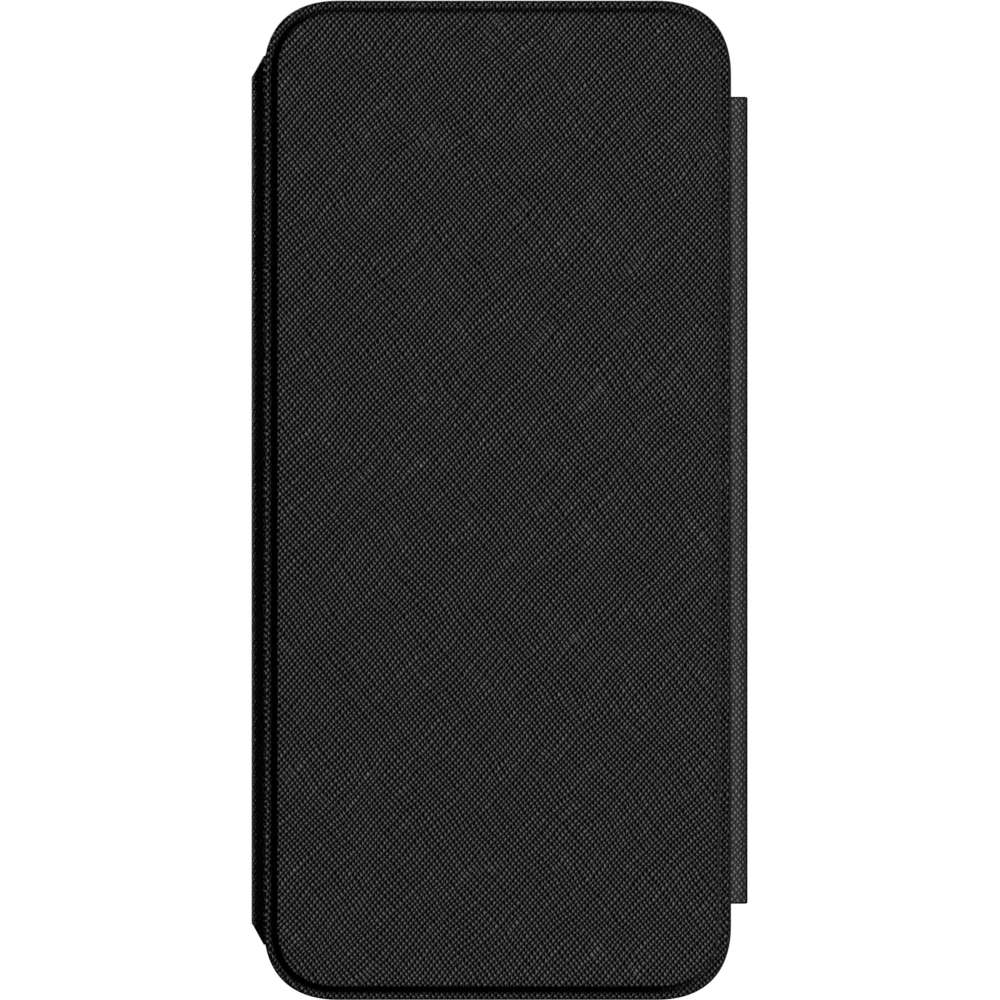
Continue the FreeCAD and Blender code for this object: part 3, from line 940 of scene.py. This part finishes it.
def build_flap_leather():
    """Flap's leather: tongue inside the cover, the fold, and the outer face turned in round three edges."""
    half = FLAP_HIGH.z
    core_depth = FLAP_HIGH.x - FLAP_LOW.x
    legs = [(FLAP_TONGUE, 0), (FLAP_BEND, 90), (FLAP_END - FLAP_FACE, 0)]
    at = bent_path((FLAP_FOLD_LOW.x, BOARD_LOW.y), 0, legs)

    def reach(s):
        return -half, half

    def outer(s, z):
        lowered = fall(half - abs(z), FLAP_EDGE_ROUND if s > FLAP_FACE else 0.3)
        return min(lowered + fall(FLAP_END - s, FLAP_EDGE_ROUND), LEATHER - 0.2) - fold_shape(s)

    def inner(s, z):
        past_side = abs(z) > half - FLAP_TURN + 0.001
        past_end = s > FLAP_END - FLAP_TURN + 0.001
        turned = s > FLAP_FACE + 0.001 and (past_side or past_end)
        return core_depth if turned else LEATHER

    lengths = flap_lengths()
    side = FLAP_TURN / (2 * half)
    tip = FLAP_EDGE_ROUND / (2 * half)
    near_end = in_order(spread(0, tip, tip / 6), [side - 0.00015, side])
    shares = in_order(near_end, spread(side, 1 - side, 0.0095), [1 - share for share in near_end])
    skins = [FLAP_SKIN, LINING]
    made = sheet("flap_leather_sheet", lengths, shares, at, reach, outer, inner, skins, FLAP_FOLD_LOW.x)
    heights = [-half + 2 * half * share for share in shares]
    # inked edges, with painted shade round the fold and on the side face
    mark_painted_shade_and_ink(made, [flap_painted_shade_and_ink(s, z) for _ in ("outer", "inner") for s in lengths for z in heights])
    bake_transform(made)
    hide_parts("flap_fold", "flap_leather")


build_back_leather()
build_spine_back()
build_spine_front()
board_x, leather_x = extent("spine_lining")[0].x, SPINE_HIGH.x
wrapped = [(3.0, board_x), (0.23, board_x), (0.23, leather_x), (0.0, leather_x)]
build_strip_lining("spine_lining", "spine", 1, 0.25, wrapped)
build_flap_leather()
glued_x = extent("flap_lining")[1].x
build_strip_lining("flap_lining", "flap", -1, 0.0, [(3.0, glued_x), (0.05, glued_x), (0.0, glued_x - 0.05)])


# ---- pockets on the inside of the cover

POCKET_CORNER = 2.5
POCKET_RIM = 2.8
CASH_RIM = 1.6
PANEL = 0.25
SEAM_INSET = 1.3
STITCH_PITCH = 3.0
STITCH_LENGTH = 2.1
THREAD_RADIUS = 0.1


def build_card_pocket(node):
    """Card panel: a sheet with a hemmed mouth on a thick U-shaped rim, softly pressed in along its seam."""
    box_low, box_high = extent(node)
    rise = box_high.z - extent("card_pocket_lower")[1].z
    left, right, mouth = box_low.x, box_high.x, box_high.z
    face, back = box_high.y, box_low.y
    hem = 1.1
    edge_round = 0.22
    recess = 0.05

    def low(x):
        return box_low.z + fall(min(x - left, right - x), POCKET_CORNER)

    def front(s, z):
        x = left + s
        to_side = min(x - left, right - x)
        to_bottom = z - box_low.z
        sunk = fall(to_side, edge_round) + fall(z - low(x), edge_round) + fall(mouth - z, 0.12)
        sunk += dip(min(to_side, to_bottom) - SEAM_INSET, 1.0, 0.09)
        sunk += dip(mouth - z - hem, 0.5, 0.06)
        slack = max(0.0, 1 - (x / (right - 4)) ** 2) * max(0.0, 1 - abs(mouth - z) / 30)
        return -sunk - recess + recess * slack

    def rear(s, z):
        x = left + s
        in_rim = min(x - left, right - x) < POCKET_RIM - 0.01 or z - box_low.z < POCKET_RIM + rise - 0.01
        return back - face if in_rim else -PANEL - recess

    width = right - left
    near_edge = in_order(spread(0, 0.3, 0.06), spread(0.3, 2.2, 0.19), [POCKET_RIM - 0.02, POCKET_RIM])
    lengths = in_order(near_edge, spread(3.2, width - 3.2, 1.2), [width - step for step in near_edge])
    seat = box_low.z + POCKET_RIM + rise
    heights = in_order(
        spread(box_low.z, box_low.z + 0.3, 0.06),
        spread(box_low.z + 0.3, box_low.z + 2.2, 0.19),
        spread(box_low.z + 2.2, seat - 0.02, 1.5),
        [seat],
        spread(seat + 1.2, mouth - 1.6, 1.2),
        spread(mouth - 1.6, mouth - 0.2, 0.1),
        spread(mouth - 0.2, mouth, 0.04),
    )
    shares = [(height - box_low.z) / (mouth - box_low.z) for height in heights]
    at = bent_path((left, face), 0, [(width, 0)])
    skins = [LINING, LINING]
    made = sheet(node + "_panel", lengths, shares, at, lambda s: (low(left + s), mouth), front, rear, skins)
    place(made, "cover", "smooth_lining", node)


def build_cash_pocket():
    """Tall panel behind the card pockets, open towards the spine."""
    box_low, box_high = extent("cash_pocket")
    left, right = box_low.x, box_high.x
    width = right - left
    half = box_high.z
    thickness = box_high.y - box_low.y
    at = bent_path((left, box_high.y), 0, [(width, 0)])

    def reach(s):
        end = half - fall(width - s, POCKET_CORNER)
        return -end, end

    def front(s, z):
        to_end = reach(s)[1] - abs(z)
        sunk = fall(to_end, 0.2) + fall(s, 0.14) + fall(width - s, 0.2)
        sunk += dip(s - 1.2, 0.5, 0.06) + dip(min(half - abs(z), width - s) - 0.9, 0.6, 0.07)
        return -sunk

    def rear(s, z):
        in_rim = s > width - CASH_RIM - 0.01 or abs(z) > half - CASH_RIM + 0.01
        return -thickness if in_rim else -PANEL

    lengths = in_order(
        spread(0, 0.2, 0.05),
        spread(0.2, 1.8, 0.1),
        spread(2.6, width - 3.2, 1.6),
        [width - CASH_RIM - 0.03, width - CASH_RIM],
        spread(width - 2.6, width - 0.3, 0.15),
        spread(width - 0.3, width, 0.06),
    )
    rim = CASH_RIM / (2 * half)
    near_end = in_order(spread(0, 0.0018, 0.00045), spread(0.0018, 0.009, 0.0009), [rim, rim + 0.0003])
    shares = in_order(near_end, spread(0.012, 0.988, 0.0105), [1 - share for share in near_end])
    made = sheet("cash_pocket_panel", lengths, shares, at, reach, front, rear, [LINING, LINING])
    place(made, "cover", "smooth_lining", "cash_pocket")


def add_stitch(bm, centre, along, lean):
    """One stitch: a plump run of thread whose two ends dive into the panel."""
    sides = 8
    flattened = 1.25
    outward = Vector((0, 1, 0))
    across = outward.cross(along)
    rings = []
    for share in (-0.5, -0.44, -0.34, -0.15, 0.15, 0.34, 0.44, 0.5):
        plump = math.sqrt(max(1 - (2 * share) ** 4, 0.06))
        middle = centre + along * share * STITCH_LENGTH + across * lean * share
        middle.y -= THREAD_RADIUS * 0.9 * (2 * share) ** 4
        ring = []
        for side in range(sides):
            turn = 2 * math.pi * side / sides
            spot = across * math.cos(turn) * flattened + outward * math.sin(turn)
            ring.append(bm.verts.new(middle + spot * THREAD_RADIUS * plump))
        rings.append(ring)
    for here, following in zip(rings, rings[1:]):
        for side in range(sides):
            after = (side + 1) % sides
            bm.faces.new((here[side], here[after], following[after], following[side]))
    bm.faces.new(rings[0][::-1])
    bm.faces.new(rings[-1])


def build_stitching():
    """Rows of stitches down both sides and along the bottom of the card pockets."""
    draw = random.Random(11)
    nodes = ("card_pocket_lower", "card_pocket_middle", "card_pocket_upper")
    boxes = [extent(node) for node in nodes]
    lowest_low, lowest_high = boxes[0]
    seam_x = lowest_high.x - SEAM_INSET
    seam_z = lowest_low.z + SEAM_INSET
    bm = bmesh.new()
    low = seam_z + STITCH_PITCH
    sunk_in = 0.3 * THREAD_RADIUS
    lean = 0.12
    for box_low, box_high in boxes:
        rise = box_high.y + sunk_in
        count = int((box_high.z - low - STITCH_LENGTH / 2) / STITCH_PITCH) + 1
        for number in range(count):
            for side in (-1, 1):
                centre = Vector((side * seam_x, rise, low + number * STITCH_PITCH))
                add_stitch(bm, centre, Vector((0, 0, 1)), draw.uniform(-lean, lean))
        low = box_high.z + STITCH_PITCH / 2
    count = int(2 * (seam_x - STITCH_PITCH) / STITCH_PITCH) + 1
    for number in range(count):
        x = (number - (count - 1) / 2) * STITCH_PITCH
        centre = Vector((x, lowest_high.y + sunk_in, seam_z))
        add_stitch(bm, centre, Vector((1, 0, 0)), draw.uniform(-lean, lean))
    made = finish_mesh("pocket_stitching_thread", bm, [THREAD])
    place(made, "cover", "thread", "pocket_stitching")


build_cash_pocket()
for level in ("upper", "middle", "lower"):
    build_card_pocket("card_pocket_" + level)
build_stitching()


# ---- tray


def build_tray_lining():
    """Fibre sheet the phone lies on, its edges soft, with the camera window cut out."""
    low, high = extent("tray_lining")
    back, front = high.y, low.y

    def outer_ring(inset, y):
        return [(x, y, z) for x, z in outline(high.x, high.z, PHONE_CORNER, inset=inset)]

    soft = round_over(0.15, 30)
    rings = [window_ring(0, back)]
    rings += [window_ring(inset, front + drop) for inset, drop in soft[::-1]]
    rings += [window_ring(1.0, front), outer_ring(1.5, front)]
    rings += [outer_ring(inset, front + drop) for inset, drop in soft]
    rings += [outer_ring(0, back), outer_ring(1.5, back), window_ring(1.0, back)]
    made = loft("tray_lining_sheet", rings, [MICROFIBRE], closed=True)
    place(made, "tray", "microfibre", "tray_lining")


def build_button(body):
    """Side key with a rounded, slightly domed cap, and the flange that keeps it in the wall."""
    node = body + "_button"
    low, high = extent(node)
    centre = ((low.y + high.y) / 2, (low.z + high.z) / 2)
    half_width, half_length = (high.y - low.y) / 2, (high.z - low.z) / 2
    flange = 0.6
    flange_x = low.x + 0.3
    dome = 0.06

    def ring(inset, x):
        wide, long = half_width - inset, half_length - inset
        shape = outline(wide, long, 0.98 * wide, centre=centre, steps=(14, 2, 8))
        return [(x, y, z) for y, z in shape]

    rings = [ring(0.3, low.x), ring(0.04, low.x), ring(0, low.x + 0.04)]
    rings += [ring(0, flange_x), ring(flange, flange_x)]
    top = high.x - dome
    rings += [ring(flange + inset, top - drop) for inset, drop in round_over(0.22)[::-1]]
    rings += [ring(flange + inset, high.x - dome * share) for inset, share in ((0.6, 0.4), (1.0, 0.1))]
    made = loft(node + "_cap", rings, [TRAY_PLASTIC])
    place(made, body, "tray_plastic", node)


build_tray_lining()
for key in ("volume_up", "volume_down", "power"):
    build_button(key)

repaint(TRAY_PLASTIC, "tray_shell")
repaint(TRIM_PLASTIC, "camera_trim")
repaint(STEEL, "catch_plate_upper", "catch_plate_lower")
repaint(MAGNET_PLATING, "flap_magnet_upper", "flap_magnet_lower")
repaint(BOARD, "cover_board", "spine_board", "flap_board")
repaint(FOAM, "cover_foam")


# ---- stage


def white_floor():
    """Pale floor: white when seen edge-on, with a soft shadow when seen from above."""
    nodes = Nodes("floor")
    seen = nodes.add("ShaderNodeLightPath").outputs["Is Camera Ray"]
    facing = nodes.add("ShaderNodeLayerWeight", {"Blend": 0.5}).outputs["Facing"]
    grazing = nodes.ramp(facing, 0.78, 0.93)
    glow = nodes.add("ShaderNodeEmission", {"Color": (1, 1, 1, 1), "Strength": 1.05})
    bounce = nodes.blend(seen, grey(0.06), grey(0.85))
    nodes.set(Base_Color=bounce, Roughness=0.9, Specular_IOR_Level=0.0)
    whiter = nodes.times(seen, nodes.ramp(grazing, 0, 1, 0.35, 1.0))
    mix = nodes.add("ShaderNodeMixShader", [whiter, nodes.shader.outputs[0], glow.outputs[0]])
    nodes.put(nodes.output.inputs["Surface"], mix.outputs[0])
    bm = bmesh.new()
    bmesh.ops.create_circle(bm, cap_ends=True, segments=96, radius=12000)
    for vert in bm.verts:
        vert.co.z = cad_box[0].z / MM
    floor = finish_mesh("floor", bm, [nodes.material])


def sky():
    """White to the camera, dim grey to everything else."""
    world = bpy.data.worlds.new("studio")
    bpy.context.scene.world = world
    world.use_nodes = True
    tree = world.node_tree
    tree.nodes.clear()
    output = tree.nodes.new("ShaderNodeOutputWorld")
    mix = tree.nodes.new("ShaderNodeMixShader")
    path = tree.nodes.new("ShaderNodeLightPath")
    for strength, socket in ((0.01, 1), (1.0, 2)):
        background = tree.nodes.new("ShaderNodeBackground")
        background.inputs["Color"].default_value = (1, 1, 1, 1)
        background.inputs["Strength"].default_value = strength
        tree.links.new(background.outputs[0], mix.inputs[socket])
    tree.links.new(path.outputs["Is Camera Ray"], mix.inputs[0])
    tree.links.new(mix.outputs[0], output.inputs[0])


def stand(name, data, place_m, direction):
    """Puts a lamp or the camera at a place, looking along a direction."""
    made = bpy.data.objects.new(name, data)
    made.location = place_m
    made.rotation_mode = "QUATERNION"
    made.rotation_quaternion = direction.to_track_quat("-Z", "Y")
    bpy.context.scene.collection.objects.link(made)
    return made


def lamp(name, place_m, size_m, power):
    """Soft square light, aimed at the middle of the case."""
    data = bpy.data.lights.new(name, "AREA")
    data.size = size_m
    data.energy = power
    stand(name, data, place_m, -Vector(place_m))


def camera():
    """Long lens straight at the front, framing the case's full height a hair off centre."""
    low, high = cad_box
    distance_m = 6.0
    framed_mm = 168.59
    aim_right_mm = 0.08
    aim_up_mm = 0.05
    data = bpy.data.cameras.new("camera")
    data.sensor_width = 36.0
    data.lens = data.sensor_width * distance_m / (framed_mm * MM)
    data.clip_end = 100
    across = (low.x + high.x) / 2 + aim_right_mm * MM
    up = (low.z + high.z) / 2 + aim_up_mm * MM
    place_m = (across, low.y - distance_m, up)
    bpy.context.scene.camera = stand("camera", data, place_m, Vector((0, 1, 0)))


white_floor()
sky()
lamp("key", (2.18, -0.88, 0.24), 0.6, 274.0)
lamp("fill", (-0.6, -1.4, 0.9), 1.0, 0.8)
lamp("back_key", (-0.92, 0.82, 0.7), 0.4, 24.0)
lamp("back_fill", (0.7, 1.5, 0.8), 1.2, 22.0)
camera()
bpy.context.scene.view_settings.view_transform = "Standard"
